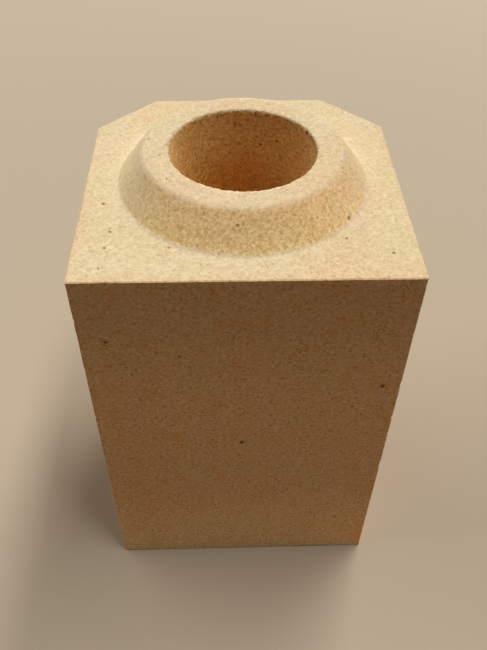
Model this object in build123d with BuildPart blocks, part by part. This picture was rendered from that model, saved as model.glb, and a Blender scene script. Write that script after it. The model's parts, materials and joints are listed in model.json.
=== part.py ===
from build123d import *
import os

# A fireclay runner brick: a square block with two corners cut off, a round bore from end to end,
# a conical spigot on the upper end and the socket that takes such a spigot in the lower end.
# Sizes are in millimetres. The bore runs along Z, the origin lies on its axis at the lower end,
# and the plain front face looks towards -Y.

# Body
brick_width = 130.0            # across the front face, along X
brick_depth = 130.0            # front face to rear face, along Y
laying_length = 200.0          # lower end to shoulder, which is what one brick adds to a run
corner_cut = 25.0              # leg of the 45 degree cut on both rear corners
arris_radius = 0.5             # slight rounding that pressing and firing leave on every outer edge

# Bore
bore_diameter = 60.0
bore_rim_radius = 0.5          # rounding where the bore opens in the spigot and in the socket floor

# Spigot
spigot_base_diameter = 104.0   # where the flank would meet the shoulder
spigot_top_diameter = 83.0     # where the flank would meet the spigot's flat top
spigot_height = 14.0
spigot_rim_radius = 3.0        # rounded outer edge of the spigot's top
spigot_root_radius = 2.0       # hollow where the flank runs out into the shoulder

# Socket, which takes the spigot of the next brick with a layer of mortar all round
mortar_clearance = 1.0         # between the flanks, measured square to the bore
socket_floor_gap = 1.0         # left over the spigot's top once the shoulders have met
socket_floor_radius = 3.0      # hollow between the socket's flank and its floor

# Worked out from the sizes above
bore_radius = bore_diameter / 2
spigot_base_radius = spigot_base_diameter / 2
spigot_top_radius = spigot_top_diameter / 2
flank_slope = (spigot_base_radius - spigot_top_radius) / spigot_height
spigot_top_level = laying_length + spigot_height
socket_depth = spigot_height + socket_floor_gap
socket_mouth_radius = spigot_base_radius + mortar_clearance
socket_end_radius = socket_mouth_radius - flank_slope * socket_depth
socket_mouth_rounding = spigot_root_radius   # passes the hollow at the spigot's root


def ring_at(part, level, radius):
    """The circular edges of a part at one height and of one radius."""
    near = 0.01
    return (
        part.edges()
        .filter_by(GeomType.CIRCLE)
        .filter_by_position(Axis.Z, level - near, level + near)
        .filter_by(lambda edge: abs(edge.radius - radius) < near)
    )


with BuildPart() as runner_brick:
    # Body: a square section with both rear corners cut off
    with BuildSketch(Plane.XY) as section:
        Rectangle(brick_width, brick_depth)
        chamfer(section.vertices().group_by(Axis.Y)[-1], length=corner_cut)
    extrude(amount=laying_length)
    fillet(runner_brick.edges(), radius=arris_radius)

    # Spigot: a low cone on the upper end, turned about the bore
    with BuildSketch(Plane.XZ) as spigot_profile:
        with BuildLine():
            Polyline(
                (0, laying_length),
                (spigot_base_radius, laying_length),
                (spigot_top_radius, spigot_top_level),
                (0, spigot_top_level),
                close=True,
            )
        make_face()
    revolve(axis=Axis.Z)
    fillet(ring_at(runner_brick, laying_length, spigot_base_radius), radius=spigot_root_radius)
    fillet(ring_at(runner_brick, spigot_top_level, spigot_top_radius), radius=spigot_rim_radius)

    # Socket: the same cone cut into the lower end, wider by the mortar and deeper by the floor gap
    with BuildSketch(Plane.XZ) as socket_profile:
        with BuildLine():
            Polyline(
                (0, 0),
                (socket_mouth_radius, 0),
                (socket_end_radius, socket_depth),
                (0, socket_depth),
                close=True,
            )
        make_face()
    revolve(axis=Axis.Z, mode=Mode.SUBTRACT)
    fillet(ring_at(runner_brick, 0, socket_mouth_radius), radius=socket_mouth_rounding)
    fillet(ring_at(runner_brick, socket_depth, socket_end_radius), radius=socket_floor_radius)

    # Bore: straight through, with its rim rounded at both ends
    Hole(radius=bore_radius, depth=spigot_top_level * 2)
    fillet(ring_at(runner_brick, spigot_top_level, bore_radius), radius=bore_rim_radius)
    fillet(ring_at(runner_brick, socket_depth, bore_radius), radius=bore_rim_radius)

runner_brick.part.label = "runner_brick"

os.makedirs("parts", exist_ok=True)
export_step(runner_brick.part, "parts/runner_brick.step")
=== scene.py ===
import json
import math
import bmesh
import bpy
from mathutils import Matrix, Vector


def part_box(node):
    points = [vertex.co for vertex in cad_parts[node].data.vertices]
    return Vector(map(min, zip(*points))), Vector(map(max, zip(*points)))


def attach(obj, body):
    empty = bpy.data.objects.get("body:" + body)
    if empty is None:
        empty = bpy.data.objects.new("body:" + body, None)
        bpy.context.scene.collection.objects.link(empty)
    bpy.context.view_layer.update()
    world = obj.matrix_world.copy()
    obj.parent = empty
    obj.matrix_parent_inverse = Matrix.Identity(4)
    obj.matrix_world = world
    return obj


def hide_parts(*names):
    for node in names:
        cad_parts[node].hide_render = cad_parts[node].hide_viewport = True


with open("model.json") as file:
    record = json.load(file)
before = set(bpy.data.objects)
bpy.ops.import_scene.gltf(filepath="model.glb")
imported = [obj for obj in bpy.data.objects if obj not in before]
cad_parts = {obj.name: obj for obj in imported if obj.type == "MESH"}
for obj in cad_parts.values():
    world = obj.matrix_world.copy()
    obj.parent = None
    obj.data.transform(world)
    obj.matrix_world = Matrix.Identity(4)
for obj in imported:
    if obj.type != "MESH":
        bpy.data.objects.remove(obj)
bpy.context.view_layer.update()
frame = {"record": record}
mm = 0.001
print("frame loaded")

# What a user would change on the brick. Lengths are in metres.
brick = {
    "cornerCut": 25 * mm,          # leg of the cut on both rear corners
    "layingLength": 200 * mm,      # lower end to shoulder
    "spigotBase": 52 * mm,         # radii of the spigot's cone
    "spigotTop": 41.5 * mm,
    "socketMouth": 53 * mm,
    "socketEnd": 41.75 * mm,
    "socketDepth": 15 * mm,
    "rootRadius": 2 * mm,          # hollow round the spigot, and the mouth of the socket
    "rimRadius": 3 * mm,
    "floorRadius": 3 * mm,
    "boreRimRadius": 0.5 * mm,
    "arrisRadius": 0.5 * mm,
    "arrisAngle": math.radians(40),    # an edge that turns further than this is an arris
    "arrisSteps": 2,
    "turnSteps": 240,
    "roundSteps": 6,
    "weldReach": 0.01 * mm,
    "sameReach": 0.005 * mm,       # two places closer than this count as one
}


def deselectAll():
    if bpy.context.object and bpy.context.object.mode != "OBJECT":
        bpy.ops.object.mode_set(mode="OBJECT")
    bpy.ops.object.select_all(action="DESELECT")


def pick(mesh, kind, wanted):
    bpy.ops.mesh.select_all(action="DESELECT")
    bm = bmesh.from_edit_mesh(mesh)
    for item in getattr(bm, kind):
        if wanted(item):
            item.select_set(True)
    bm.select_flush_mode()
    bmesh.update_edit_mesh(mesh)


def near(a, b):
    return abs(a - b) < brick["sameReach"]


def upright(edge):
    return not near(edge.verts[0].co.z, edge.verts[1].co.z)


# The bore, the spigot and the socket are one half section, drawn as a chain and spun about the bore
def turnedSkin(boreRadius, topLevel):
    shoulder = brick["layingLength"]
    # radius and level of each corner, and how far it is rounded
    corners = [
        (brick["spigotBase"] + brick["rootRadius"], shoulder, 0),
        (brick["spigotBase"], shoulder, brick["rootRadius"]),
        (brick["spigotTop"], topLevel, brick["rimRadius"]),
        (boreRadius, topLevel, brick["boreRimRadius"]),
        (boreRadius, brick["socketDepth"], brick["boreRimRadius"]),
        (brick["socketEnd"], brick["socketDepth"], brick["floorRadius"]),
        (brick["socketMouth"], 0, brick["rootRadius"]),
        (brick["socketMouth"] + brick["rootRadius"], 0, 0),
    ]
    # the chain starts as a plane that is merged to one point
    bpy.ops.mesh.primitive_plane_add(size=mm, location=(corners[0][0], 0, corners[0][1]))
    skin = bpy.context.object
    bpy.ops.object.transform_apply(location=True)
    bpy.ops.object.mode_set(mode="EDIT")
    bpy.ops.mesh.merge(type="CENTER")
    for (x, z, _), (toX, toZ, _) in zip(corners, corners[1:]):
        bpy.ops.mesh.extrude_vertices_move(TRANSFORM_OT_translate={"value": (toX - x, 0, toZ - z)})
    for before, (x, z, radius), after in zip(corners, corners[1:], corners[2:]):
        arriving = Vector((x - before[0], z - before[1]))
        leaving = Vector((after[0] - x, after[1] - z))
        reach = radius * math.tan(arriving.angle(leaving) / 2)
        pick(skin.data, "verts", lambda v: near(v.co.x, x) and near(v.co.z, z))
        bpy.ops.mesh.bevel(offset=reach, segments=brick["roundSteps"], affect="VERTICES")
    bpy.ops.mesh.select_all(action="SELECT")
    bpy.ops.mesh.spin(steps=brick["turnSteps"], angle=math.tau, center=(0, 0, 0), axis=(0, 0, 1))
    bpy.ops.mesh.select_all(action="SELECT")
    bpy.ops.mesh.remove_doubles(threshold=brick["weldReach"])
    return skin


def addBlock(skin, low, high):
    # the block is added to the same mesh, its rear corners are cut and its ends filled round the rings
    size = high - low
    length = brick["layingLength"]
    bpy.ops.mesh.primitive_cube_add(size=1, location=(0, 0, length / 2), scale=(size.x, size.y, length))
    bpy.ops.mesh.select_mode(type="EDGE")
    pick(skin.data, "edges", lambda e: upright(e)
         and all(near(v.co.y, high.y) and near(abs(v.co.x), high.x) for v in e.verts))
    bpy.ops.mesh.bevel(offset=brick["cornerCut"], segments=1, affect="EDGES")
    # the two ends are the only faces with six corners
    bpy.ops.mesh.select_mode(type="FACE")
    pick(skin.data, "faces", lambda f: len(f.verts) == 6)
    bpy.ops.mesh.delete(type="ONLY_FACE")
    bpy.ops.mesh.select_mode(type="EDGE")
    for level in (0, length):
        pick(skin.data, "edges", lambda e: e.is_boundary and all(near(v.co.z, level) for v in e.verts))
        bpy.ops.mesh.fill(use_beauty=True)
    bpy.ops.mesh.select_all(action="SELECT")
    bpy.ops.mesh.normals_make_consistent(inside=False)
    # the outer arrises: edges of the block where two flat faces meet
    pick(skin.data, "edges", lambda e: e.calc_face_angle(0) > brick["arrisAngle"]
         and all(near(abs(v.co.x), high.x) or near(abs(v.co.y), high.y) for v in e.verts))
    bpy.ops.mesh.bevel(offset=brick["arrisRadius"], segments=brick["arrisSteps"], affect="EDGES")
    bpy.ops.object.mode_set(mode="OBJECT")


# Wear: how far pressing, handling and firing have moved the surface, always inwards. Each kind has
# its depth, the size of its cloud, the cloud's value where it starts and where it is deepest, and
# how far it reaches from its edge.
wear = {
    "swell": {"depth": 0.14 * mm, "size": 40 * mm, "from": 0.0, "to": 1.0},    # faces that aren't quite flat
    "grain": {"depth": 0.10 * mm, "size": 1.6 * mm, "from": 0.0, "to": 1.0},
    "arris": {"depth": 0.24 * mm, "size": 2.0 * mm, "from": 0.48, "to": 0.8, "reach": 1.6 * mm},
    "chips": {"depth": 0.55 * mm, "size": 6 * mm, "from": 0.66, "to": 0.84, "reach": 2.2 * mm},
    "rim": {"depth": 0.55 * mm, "size": 1.1 * mm, "from": 0.42, "to": 0.66, "reach": 1.2 * mm},
    "cloudDetail": 2,
    "voxel": 0.5 * mm,             # spacing of the mesh that is worn
    "triangles": 185000,           # what is kept of it
    "smoothAngle": math.radians(35),
    "ringSteps": 120,
    "ballSteps": 2,
    "ballTurn": 0.4,               # each ball is turned this much further than the last, in radians
    "dentShift": 0.75,             # how far a dent's ball lies outside the surface, in radii
}

# Nicks in the edges: centre and radius in millimetres, and the stretch along Z.
# The cut fails where any two of the nicks and spots touch.
nicks = [
    ((-65.4, -65.4, 185.2), 1.0, 1.3),
    ((-65.5, -65.4, 90.8), 1.1, 1.5),
    ((39.6, 65.2, 200.3), 0.9, 1.0),
    ((-65.6, -65.6, 0.0), 1.6, 1.2),
    ((65.3, -65.4, 62.0), 0.8, 1.6),
    ((-12.0, 65.4, 200.2), 1.0, 1.0),
    ((51.8, 53.4, 200.3), 1.2, 1.0),
]

# The iron spots that stand out: centre and radius in millimetres, how much flatter than wide,
# and the surface that each lies on
spots = [
    ((-1.4, -65, 101.0), 1.25, 0.85, "front"),
    ((57.1, -65, 139.6), 1.2, 0.85, "front"),
    ((-54.3, -65, 168.8), 1.1, 1.2, "front"),
    ((34.7, -65, 37.6), 0.7, 0.9, "front"),
    ((47.9, -65, 31.8), 1.1, 1.5, "front"),
    ((-26.6, -65, 160.1), 0.6, 0.9, "front"),
    ((-56.2, -18.2, 200), 0.9, 1.0, "top"),
    ((-51.8, -36.2, 200), 0.7, 1.0, "top"),
    ((-28.7, -46.2, 200), 0.6, 1.0, "top"),
    ((38.2, -41.7, 200), 0.7, 1.0, "top"),
    ((54.6, -50.6, 200), 0.8, 1.0, "top"),
    ((-3.3, -45.0, 209.1), 0.6, 1.0, "cone"),
    ((40.1, -30.7, 201.0), 0.7, 0.6, "cone"),
    ((8.8, 28.7, 197.6), 0.8, 1.0, "bore"),
    ((15.7, 25.6, 201.0), 0.7, 1.0, "bore"),
    ((27.0, 12.8, 212.9), 0.95, 0.6, "bore"),
    ((-38.8, 6.6, 214), 0.5, 1.0, "top"),
    ((-33.4, -5.2, 214), 0.55, 1.0, "top"),
    ((-30.0, -22.1, 214), 0.55, 1.0, "top"),
    ((-52.8, -45.9, 200), 0.7, 1.0, "top"),
    ((-53.8, -57.3, 200), 0.5, 1.0, "top"),
]


def applyModifier(piece, kind, settings):
    added = piece.modifiers.new(kind.lower(), kind)
    for name, setting in settings.items():
        setattr(added, name, setting)
    bpy.context.view_layer.objects.active = piece
    bpy.ops.object.modifier_apply(modifier=added.name)


def bite(piece, name, group=""):
    # the surface is pushed in under a cloud, and left alone where the cloud is darker than its start
    kind = wear[name]
    cloud = bpy.data.textures.new(name, "CLOUDS")
    cloud.noise_scale = kind["size"]
    cloud.noise_depth = wear["cloudDetail"]
    cloud.use_color_ramp = True
    stops = cloud.color_ramp.elements
    stops[0].position, stops[0].color = kind["from"], (0, 0, 0, 1)
    stops[1].position, stops[1].color = kind["to"], (1, 1, 1, 1)
    applyModifier(piece, "DISPLACE", {
        "texture": cloud, "texture_coords": "LOCAL",
        "strength": -kind["depth"], "mid_level": 0, "vertex_group": group})


def weigh(piece, group, guide, reach):
    # full weight on the guide's edges, none beyond the reach
    piece.vertex_groups.new(name=group).add(range(len(piece.data.vertices)), 1.0, "REPLACE")
    applyModifier(piece, "VERTEX_WEIGHT_PROXIMITY", {
        "vertex_group": group, "target": guide, "proximity_mode": "GEOMETRY",
        "proximity_geometry": {"EDGE"}, "min_dist": reach, "max_dist": 0.0})


def arrisGuide(low, high):
    # the outer edges of the block, as a wire cage
    size = high - low
    length = brick["layingLength"]
    deselectAll()
    bpy.ops.mesh.primitive_cube_add(size=1, location=(0, 0, length / 2), scale=(size.x, size.y, length))
    guide = bpy.context.object
    bpy.ops.object.transform_apply(location=True, scale=True)
    bpy.ops.object.mode_set(mode="EDIT")
    bpy.ops.mesh.select_mode(type="EDGE")
    pick(guide.data, "edges", lambda e: upright(e) and e.verts[0].co.y > 0)
    bpy.ops.mesh.bevel(offset=brick["cornerCut"], segments=1, affect="EDGES")
    bpy.ops.mesh.select_all(action="SELECT")
    bpy.ops.mesh.delete(type="ONLY_FACE")
    bpy.ops.object.mode_set(mode="OBJECT")
    return guide


def ringGuide(radius, level):
    deselectAll()
    bpy.ops.mesh.primitive_circle_add(vertices=wear["ringSteps"], radius=radius, location=(0, 0, level))
    return bpy.context.object


def outward(surface, x, y):
    # which way the surface faces at a spot
    if surface == "front":
        return Vector((0, -1, 0))
    if surface == "top":
        return Vector((0, 0, 1))
    side = Vector((x, y, 0)).normalized()
    return -side if surface == "bore" else side


def cutNicks(piece):
    # small squashed balls are taken out of the edges, and shallow ones where iron has burnt away
    deselectAll()
    dents = []
    for centre, size, flat, surface in spots:
        outside = Vector(centre) + outward(surface, *centre[:2]) * size * wear["dentShift"]
        dents.append((outside, size, 1 / flat))
    balls = []
    for centre, size, stretch in nicks + dents:
        bpy.ops.mesh.primitive_ico_sphere_add(
            subdivisions=wear["ballSteps"], radius=size * mm, location=[c * mm for c in centre],
            scale=(1, 1, stretch), rotation=(wear["ballTurn"] * len(balls), 0, 0))
        balls.append(bpy.context.object)
    for ball in balls:
        ball.select_set(True)
    bpy.context.view_layer.objects.active = balls[0]
    bpy.ops.object.join()
    tool = bpy.context.object
    applyModifier(piece, "BOOLEAN", {"operation": "DIFFERENCE", "solver": "EXACT", "object": tool})
    bpy.data.objects.remove(tool)


def wearBrick(piece, low, high, boreRadius):
    cutNicks(piece)
    print("nicks and spots cut")
    applyModifier(piece, "REMESH", {"mode": "VOXEL", "voxel_size": wear["voxel"], "adaptivity": 0})
    print("brick remeshed,", len(piece.data.vertices), "points")
    cage = arrisGuide(low, high)
    rings = [ringGuide(boreRadius, level) for level in (high.z, brick["socketDepth"])]
    rimGroups = [f"rim{number}" for number in range(len(rings))]
    weigh(piece, "arris", cage, wear["arris"]["reach"])
    weigh(piece, "chips", cage, wear["chips"]["reach"])
    for group, ring in zip(rimGroups, rings):
        weigh(piece, group, ring, wear["rim"]["reach"])
    bite(piece, "swell")
    bite(piece, "grain")
    bite(piece, "arris", "arris")
    bite(piece, "chips", "chips")
    for group in rimGroups:
        bite(piece, "rim", group)
    for guide in [cage] + rings:
        bpy.data.objects.remove(guide)
    print("brick worn")
    # four-sided faces become two triangles each, and the arrises keep more of theirs
    applyModifier(piece, "DECIMATE", {"ratio": wear["triangles"] / (2 * len(piece.data.polygons)),
                                      "vertex_group": "arris", "invert_vertex_group": True})
    print("brick thinned to", len(piece.data.polygons), "faces")
    deselectAll()
    piece.select_set(True)
    bpy.context.view_layer.objects.active = piece
    bpy.ops.object.shade_smooth_by_angle(angle=wear["smoothAngle"])


def makeBrick():
    low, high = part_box("runner_brick")
    boreRadius = frame["record"]["mounts"][0]["dims"]["r_mm"] * mm
    deselectAll()
    piece = turnedSkin(boreRadius, high.z)
    addBlock(piece, low, high)
    piece.name = "runner_brick_fired"
    print("brick shaped")
    wearBrick(piece, low, high, boreRadius)
    bm = bmesh.new()
    bm.from_mesh(piece.data)
    litres = bm.calc_volume() * 1000
    print("brick closed:", sum(not e.is_manifold for e in bm.edges), "open edges,", litres, "litres")
    bm.free()
    return piece


# A hand camera that stands close and looks down on the brick's front
camera = {
    "place": (-8.7 * mm, -251.9 * mm, 368.9 * mm),
    "turnRight": math.radians(2.245),
    "tiltDown": math.radians(45.665),
    "roll": math.radians(0.792),
    "lens": 39.27,
    "nearest": 10 * mm,
}


def placeCamera():
    deselectAll()
    turn = (Matrix.Rotation(-camera["turnRight"], 3, "Z")
            @ Matrix.Rotation(math.pi / 2 - camera["tiltDown"], 3, "X")
            @ Matrix.Rotation(camera["roll"], 3, "Z"))
    bpy.ops.object.camera_add(location=camera["place"], rotation=turn.to_euler())
    made = bpy.context.object
    made.data.lens = camera["lens"]
    made.data.clip_start = camera["nearest"]
    bpy.context.scene.camera = made
    print("camera placed")


# Three softboxes hang flat over the brick: a long narrow one a little to its right,
# and a dim wide one behind it on either side. Nothing lights it from the front.
light = {
    "height": 2.5,
    # places and sizes are shares of the height, powers are in watts
    "softboxes": {
        "overhead": {"place": (0.254, 0.25), "size": (0.136, 1.24), "power": 71},
        "right": {"place": (0.815, 0.754), "size": (0.872, 0.734), "power": 54},
        "left": {"place": (-0.807, 0.693), "size": (0.42, 1.738), "power": 73},
    },
    "skyColor": (1, 0.9, 0.8, 1),
    "skyStrength": 0.02,
    "backdropColor": (0.53, 0.43, 0.31, 1),     # what the camera sees past the floor's end
    "floorSize": 12,
    "floorColor": (0.55, 0.46, 0.34, 1),        # as the camera sees the board
    "floorBounce": (0.50, 0.30, 0.13, 1),       # as it lights the brick from below
    "floorRoughness": 0.95,
    "floorSheen": 0.1,
    "floorFade": (1.2, 3.0),                    # distances from the brick where it runs into the backdrop
}


def seen(tree):
    # 1 where a surface or the sky is looked at, straight, in a reflection or through glass
    straight, mirrored, through = (tree.node("ShaderNodeLightPath", {}, {}, f"Is {kind} Ray")
                                   for kind in ("Camera", "Glossy", "Transmission"))
    return straight.atLeast(mirrored).atLeast(through)


def hangSoftbox(name, given):
    deselectAll()
    height = light["height"]
    x, y = given["place"]
    bpy.ops.object.light_add(type="AREA", location=(x * height, y * height, height))
    softbox = bpy.context.object
    softbox.name = name + "_softbox"
    softbox.data.shape = "RECTANGLE"
    softbox.data.size, softbox.data.size_y = (side * height for side in given["size"])
    softbox.data.energy = given["power"]


def setLight():
    for name, given in light["softboxes"].items():
        hangSoftbox(name, given)
    world = bpy.context.scene.world or bpy.data.worlds.new("world")
    bpy.context.scene.world = world
    world.use_nodes = True
    tree = Link(world.node_tree, None)
    dim = tuple(part * light["skyStrength"] for part in light["skyColor"])
    sky = tree.mix(seen(tree), dim, light["backdropColor"])
    tree.give(world.node_tree.nodes["Background"], {"Color": sky})
    print("light set")


def layFloor():
    deselectAll()
    bpy.ops.mesh.primitive_plane_add(size=light["floorSize"])
    floor = bpy.context.object
    floor.name = "floor"
    material, tree, shader = newMaterial("pale_board")
    looked = seen(tree)
    tree.give(shader, {
        "Base Color": tree.mix(looked, light["floorBounce"], light["floorColor"]),
        "Roughness": light["floorRoughness"], "Specular IOR Level": light["floorSheen"],
        "Diffuse Roughness": 1.0})
    # far from the brick the floor runs into the backdrop with no horizon
    place = tree.node("ShaderNodeTexCoord", {}, {}, "Object")
    far = place.length().ramp(*light["floorFade"]) * looked
    glow = tree.node("ShaderNodeEmission", {}, {"Color": light["backdropColor"]})
    board = Link(material.node_tree, shader.outputs[0])
    both = tree.node("ShaderNodeMixShader", {}, {0: far, 1: board, 2: glow})
    tree.give(material.node_tree.nodes["Material Output"], {"Surface": both})
    floor.data.materials.append(material)
    print("floor laid")


class Link:
    # a shader socket that can stand in a Python sum
    def __init__(self, tree, socket):
        self.tree = tree
        self.socket = socket

    def give(self, node, sockets):
        for name, given in sockets.items():
            if isinstance(given, Link):
                self.tree.links.new(given.socket, node.inputs[name])
            else:
                node.inputs[name].default_value = given

    def node(self, kind, settings, sockets, out=0):
        made = self.tree.nodes.new(kind)
        for name, setting in settings.items():
            setattr(made, name, setting)
        self.give(made, sockets)
        return Link(self.tree, made.outputs[out])

    def math(self, operation, a, b):
        return self.node("ShaderNodeMath", {"operation": operation}, {0: a, 1: b})

    def vector(self, operation, sockets, out=0):
        return self.node("ShaderNodeVectorMath", {"operation": operation}, {0: self, **sockets}, out)

    def mix(self, share, a, b, blend="MIX"):
        # 6, 7 and 2 are the node's colour sockets
        return self.node("ShaderNodeMix", {"data_type": "RGBA", "blend_type": blend},
                         {0: share, 6: a, 7: b}, 2)

    def ramp(self, low, high):
        # 0 at low, 1 at high, smooth between them
        return self.node("ShaderNodeMapRange", {"interpolation_type": "SMOOTHSTEP"},
                         {"Value": self, "From Min": low, "From Max": high})

    def length(self):
        return self.vector("LENGTH", {}, "Value")

    def size(self):
        return self.math("ABSOLUTE", self, 0)

    def atLeast(self, other):
        return self.math("MAXIMUM", self, other)

    def __add__(self, other):
        return self.math("ADD", self, other)

    __radd__ = __add__

    def __sub__(self, other):
        return self.math("SUBTRACT", self, other)

    def __rsub__(self, other):
        return self.math("SUBTRACT", other, self)

    def __mul__(self, other):
        return self.math("MULTIPLY", self, other)

    __rmul__ = __mul__

    def __truediv__(self, other):
        return self.math("DIVIDE", self, other)


def newMaterial(name):
    made = bpy.data.materials.new(name)
    made.use_nodes = True
    return made, Link(made.node_tree, None), made.node_tree.nodes["Principled BSDF"]


# What a user would change on the fired clay. Colours are linear. A tint is multiplied in.
clay = {
    "endColor": (0.785, 0.643, 0.408, 1),       # spigot, shoulder and lower end
    "flankColor": (0.76, 0.60, 0.352, 1),       # the spigot's cone
    "flankFrontLitColor": (0.93, 0.70, 0.36, 1),   # its front, more orange, and painted brighter as painted light
    "frontLean": 0.12,                          # how far that front is turned to the right
    "sideColorAndShade": (0.665, 0.447, 0.227, 1),      # the long faces, darker and more orange than the ends: partly their own colour, partly painted shade
    "boreColor": (0.76, 0.475, 0.165, 1),
    "headShadeTint": (0.82, 0.83, 0.87, 1),          # painted shade darkens the sides at the top, and painted light from the floor brightens their foot
    "footLightTint": (1.27, 1.33, 1.26, 1),
    "pinkTint": (1.01, 0.955, 0.93, 1),
    "oliveTint": (0.975, 1.01, 0.96, 1),
    "rustTint": (1.02, 0.91, 0.79, 1),
    "arrisTint": (1.01, 0.965, 0.92, 1),        # along the ends' outer edges
    "arrisShare": 0.9,
    "rimLitTint": (1.07, 1.045, 1.0, 1),           # painted light along the front of the spigot's rim
    # painted shade along the rear of the spigot's rim
    "rimRearShadeTint": (0.90, 0.90, 0.92, 1),
    "scorchTint": (1.05, 0.76, 0.62, 1),
    "scorchPlace": (62 * mm, -65 * mm, 16 * mm),    # low on the front's right edge
    "scorchShare": 0.8,
    # painted shade deep in the bore, darker and more orange
    "deepShadeTint": (0.87, 0.66, 0.36, 1),
    "deepShadePlace": (-8 * mm, 30 * mm, 174 * mm),      # middle of the painted shade deep in the bore, on its rear wall
    "pressedColor": (0.88, 0.75, 0.52, 1),      # the shoulder next to the spigot
    "pressedShare": 0.35,
    "mottle": (0.52, 0.76, 1.25),               # how far red, green and blue swing with the mottling
    "mottleStretch": (0.96, 0.96, 1.06),
    "mottleShare": 1.55,
    "grogShare": 0.33,
    "endMottle": -0.45,                         # how much more or less the mottling shows on each part
    "boreMottle": 0.3,
    "flankMottle": -0.45,
    "mottleSize": 1.6 * mm,
    "mottleDetail": 3.0,
    "mottleRoughness": 0.7,
    "grogSize": 0.75 * mm,
    "clusterColor": (0.30, 0.13, 0.05, 1),
    "grogColor": (0.50, 0.33, 0.17, 1),
    "speckColor": (0.25, 0.125, 0.055, 1),
    "ironColor": (0.16, 0.075, 0.03, 1),
    "ironEndColor": (0.31, 0.17, 0.035, 1),     # paler where the clay round it is
    "raggedSize": 0.9 * mm,                     # how the spots that stand out are torn at their edge
    "raggedShare": 0.6,
    "spotEdge": (0.85, 1.4),
    "roughness": 0.97,
    "grogSheen": 0.08,                          # grog grains are this much less rough
    "specular": 0.2,
    "bumpStrength": 0.45,
    "bumpDepth": 0.35 * mm,
}

# Where the parts of the brick begin and end, each from 0 to 1 between its two values
reaches = {
    # how straight up or down a face looks
    "end": (0.62, 0.9),
    "cone": (0.25, 0.5),
    "rimOuter": (0.55, 0.85),
    "rimInner": (0.94, 0.995),
    # how straight to the front it lies from the bore
    "front": (0.15, 1.0),
    # distances from the bore's axis
    "bore": (31 * mm, 33 * mm),
    "pressedInner": (46 * mm, 51 * mm),
    "pressedOuter": (52.5 * mm, 58 * mm),
    "arris": (59 * mm, 66 * mm),
    # heights above the lower end
    "head": (125 * mm, 200 * mm),
    "foot": (-5 * mm, 75 * mm),
    "rimLevel": (206 * mm, 211 * mm),
    "pitLevel": (210.5 * mm, 212.0 * mm),
    # distances from the middle of the redder patch, and from that of the painted shade in the bore
    "scorch": (3 * mm, 15 * mm),
    "deep": (4 * mm, 32 * mm),
}

# Clouds of tint: size, detail, the values where each starts and is full, and where in the endless
# pattern it is cut from
clouds = {
    "pink": {"size": 38 * mm, "detail": 3.0, "reach": (0.45, 0.68), "shift": (0, 0, 0)},
    "olive": {"size": 17 * mm, "detail": 3.0, "reach": (0.42, 0.7), "shift": (0.3, 0.1, 0.2)},
    "rust": {"size": 9 * mm, "detail": 2.0, "reach": (0.5, 0.72), "shift": (0.7, 0.2, 0.6)},
    "scorch": {"size": 6 * mm, "detail": 2.0, "reach": (0.35, 0.62), "shift": (0, 0, 0)},
    "crowd": {"size": 9 * mm, "detail": 2.0, "reach": (0.4, 0.62), "shift": (0, 0, 0)},
}

# Dots: spacing, the share of cells that have one, greatest radius as a share of the spacing,
# how strongly they stain the clay, how deep they dent it, and where the pattern is cut from
specks = {
    "fine": {"spacing": 1.15 * mm, "share": 0.85, "radius": 0.33, "stain": 0.5, "dent": 0.35,
             "shift": (0.5, 0.5, 0.5)},
    "clusters": {"spacing": 1.9 * mm, "share": 1.0, "radius": 0.4, "stain": 0.6, "dent": 0.3,
                 "shift": (0.2, 0.3, 0.1)},
    "sparse": {"spacing": 2.2 * mm, "share": 0.6, "radius": 0.26, "stain": 0.7, "dent": 0.5,
               "shift": (0, 0, 0)},
    "pits": {"spacing": 1.5 * mm, "share": 1.0, "radius": 0.45, "stain": 0.75, "shift": (0.4, 0.4, 0.9)},
    "iron": {"spacing": 15 * mm, "share": 0.4, "radius": 0.055, "stain": 0.9, "dent": 0.8,
             "shift": (0.1, 0.7, 0.4)},
    "softEdge": 0.35,              # width of a dot's edge, as a share of its greatest radius
    "endLess": 0.35,               # how much fainter dots are on the ends, and where the clay is pressed
    "pressedLess": 0.7,
    "coneLess": 0.5,               # sparse dots on the cone and the ends
    "coneLessClusters": 0.25,
}

# How much of each pattern stands out as relief
relief = {"mottle": 0.9, "grog": 0.2, "flankLess": 0.6}


def noise(place, size, detail=2.0, roughness=0.5):
    return place.node("ShaderNodeTexNoise", {}, {
        "Vector": place, "Scale": 1 / size, "Detail": detail, "Roughness": roughness})


def cells(place, size, out):
    return place.node("ShaderNodeTexVoronoi", {}, {"Vector": place, "Scale": 1 / size}, out)


def channel(color, index):
    return color.node("ShaderNodeSeparateColor", {}, {0: color}, index)


def cloud(place, name):
    given = clouds[name]
    moved = place.vector("ADD", {1: given["shift"]})
    return noise(moved, given["size"], given["detail"]).ramp(*given["reach"])


# Dots of one kind: one to a cell, some cells without, each of its own size
def dots(place, name):
    given = specks[name]
    moved = place.vector("ADD", {1: given["shift"]})
    draw = channel(cells(moved, given["spacing"], "Color"), 0)
    size = draw.ramp(1 - given["share"], 1.0) * given["radius"]
    return (size - cells(moved, given["spacing"], "Distance")).ramp(0, given["radius"] * specks["softEdge"])


def tinted(color, share, tint):
    return color.mix(share, color, color.mix(1.0, color, tint, "MULTIPLY"))


def standingSpots(place, scattered):
    # the spots that stand out, with torn edges, over the scattered ones
    iron = scattered
    ragged = noise(place, clay["raggedSize"]) * clay["raggedShare"]
    start, end = clay["spotEdge"]
    for centre, size, flat, _ in spots:
        reach = size * mm
        away = place.vector("SUBTRACT", {1: tuple(c * mm for c in centre)})
        away = away.vector("MULTIPLY", {1: (1, 1, flat)}).length() + ragged * reach
        iron = iron.atLeast(1 - away.ramp(reach * start, reach * end))
    return iron


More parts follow.
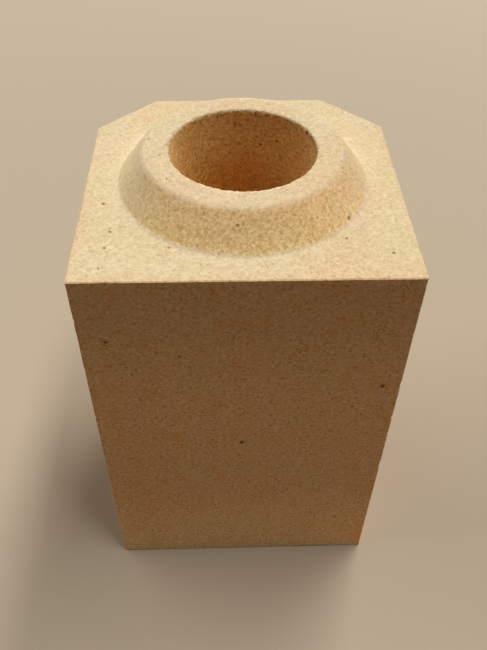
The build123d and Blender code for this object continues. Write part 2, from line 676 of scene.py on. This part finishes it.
def fireclay():
    material, tree, shader = newMaterial("fireclay")
    place = tree.node("ShaderNodeTexCoord", {}, {}, "Object")
    facing = tree.node("ShaderNodeTexCoord", {}, {}, "Normal")
    x, y, z = (tree.node("ShaderNodeSeparateXYZ", {}, {0: place}, axis) for axis in "XYZ")
    level = tree.node("ShaderNodeSeparateXYZ", {}, {0: facing}, "Z").size()
    radius = place.vector("MULTIPLY", {1: (1, 1, 0)}).length()

    # where on the brick: ends, cone, bore, front
    onEnd = level.ramp(*reaches["end"])
    onCone = level.ramp(*reaches["cone"])         # the cone and the ends
    flanks = onCone * (1 - onEnd)
    inBore = 1 - radius.ramp(*reaches["bore"])
    outside = (1 - onCone) * (1 - inBore)
    frontward = ((x * clay["frontLean"] - y) / radius).ramp(*reaches["front"])
    # the cone's front is painted brighter as painted light
    flank = tree.mix(frontward, clay["flankColor"], clay["flankFrontLitColor"])
    # the long faces' colour carries painted shade
    color = tree.mix(inBore, clay["sideColorAndShade"], clay["boreColor"])
    color = tree.mix(onCone, color, flank)
    color = tree.mix(onEnd, color, clay["endColor"])

    # broad and middling clouds of tint
    color = tinted(color, cloud(place, "pink"), clay["pinkTint"])
    color = tinted(color, cloud(place, "olive"), clay["oliveTint"])
    color = tinted(color, cloud(place, "rust") * (1 - onCone), clay["rustTint"])
    # painted shade at the top of the long faces, and painted light from the floor at their foot
    color = tinted(color, outside * z.ramp(*reaches["head"]), clay["headShadeTint"])
    color = tinted(color, outside * (1 - z.ramp(*reaches["foot"])), clay["footLightTint"])

    # the ends are more orange along the outer arrises; the spigot's rim gets painted light in front and
    # painted shade at the rear
    edge = x.size().atLeast(0 - y).ramp(*reaches["arris"])
    color = tinted(color, edge * onEnd * clay["arrisShare"], clay["arrisTint"])
    rim = level.ramp(*reaches["rimOuter"]) * (1 - level.ramp(*reaches["rimInner"]))
    rim = rim * z.ramp(*reaches["rimLevel"])
    color = tinted(color, rim, tree.mix(frontward, clay["rimRearShadeTint"], clay["rimLitTint"]))

    # a redder patch low on the front, and painted shade deep in the bore, darker and more orange
    scorch = 1 - place.vector("DISTANCE", {1: clay["scorchPlace"]}, "Value").ramp(*reaches["scorch"])
    color = tinted(color, scorch * cloud(place, "scorch") * clay["scorchShare"], clay["scorchTint"])
    deep = 1 - place.vector("DISTANCE", {1: clay["deepShadePlace"]}, "Value").ramp(*reaches["deep"])
    color = tinted(color, deep * inBore, clay["deepShadeTint"])

    # the shoulder is smoother where the die's rim pressed round the spigot
    pressed = onEnd * (1 - radius.ramp(*reaches["pressedOuter"])) * radius.ramp(*reaches["pressedInner"])
    color = tree.mix(pressed * clay["pressedShare"], color, clay["pressedColor"])

    # mottling: blue swings furthest, so dark places are also the brownest
    wide = place.vector("MULTIPLY", {1: clay["mottleStretch"]})
    grain = noise(wide, clay["mottleSize"], clay["mottleDetail"], clay["mottleRoughness"])
    grog = channel(cells(place, clay["grogSize"], "Color"), 0)
    mottle = clay["mottleShare"] * (grain - 0.5) + clay["grogShare"] * (grog - 0.5)
    mottle = mottle * (1 + clay["endMottle"] * onEnd + clay["boreMottle"] * inBore
                       + clay["flankMottle"] * flanks * (1 - frontward))
    swing = tree.node("ShaderNodeVectorMath", {"operation": "SCALE"}, {0: clay["mottle"], "Scale": mottle})
    color = color.vector("MULTIPLY", {1: swing.vector("ADD", {1: (1, 1, 1)})})

    # dots: dense pale brown ones, reddish ones in clusters, and sparse darker ones
    shown = (1 - onEnd * specks["endLess"]) * (1 - pressed * specks["pressedLess"])
    fine = dots(place, "fine")
    clusters = dots(wide, "clusters") * cloud(place, "crowd")
    sparse = dots(place, "sparse") * (1 - onCone * specks["coneLess"])
    clusterStain = specks["clusters"]["stain"] - specks["coneLessClusters"] * onCone
    color = tree.mix(fine * shown * specks["fine"]["stain"], color, clay["grogColor"])
    color = tree.mix(clusters * shown * clusterStain, color, clay["clusterColor"])
    color = tree.mix(sparse * shown * specks["sparse"]["stain"], color, clay["speckColor"])

    # pits that ring the bore just under the spigot's top
    pits = dots(place, "pits") * inBore * (1 - onCone) * z.ramp(*reaches["pitLevel"])
    color = tree.mix(pits * specks["pits"]["stain"], color, clay["ironColor"])

    iron = standingSpots(place, dots(place, "iron"))
    ironColor = tree.mix(onCone, clay["ironColor"], clay["ironEndColor"])
    color = tree.mix(iron * specks["iron"]["stain"], color, ironColor)

    height = relief["mottle"] * grain + relief["grog"] * grog
    for name, pattern in {"sparse": sparse, "clusters": clusters, "fine": fine, "iron": iron}.items():
        height = height - specks[name]["dent"] * pattern
    height = height * (1 - relief["flankLess"] * flanks)
    bump = tree.node("ShaderNodeBump", {}, {
        "Height": height, "Strength": clay["bumpStrength"], "Distance": clay["bumpDepth"]})
    tree.give(shader, {
        "Base Color": color, "Roughness": clay["roughness"] - clay["grogSheen"] * grog,
        "Specular IOR Level": clay["specular"], "Diffuse Roughness": 1.0, "Normal": bump})
    print("clay mixed")
    return material


placeCamera()
setLight()
layFloor()
body = makeBrick()
body.data.materials.append(fireclay())
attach(body, "root")
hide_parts("runner_brick")
print("brick dressed")

bpy.context.scene.view_settings.view_transform = "Standard"
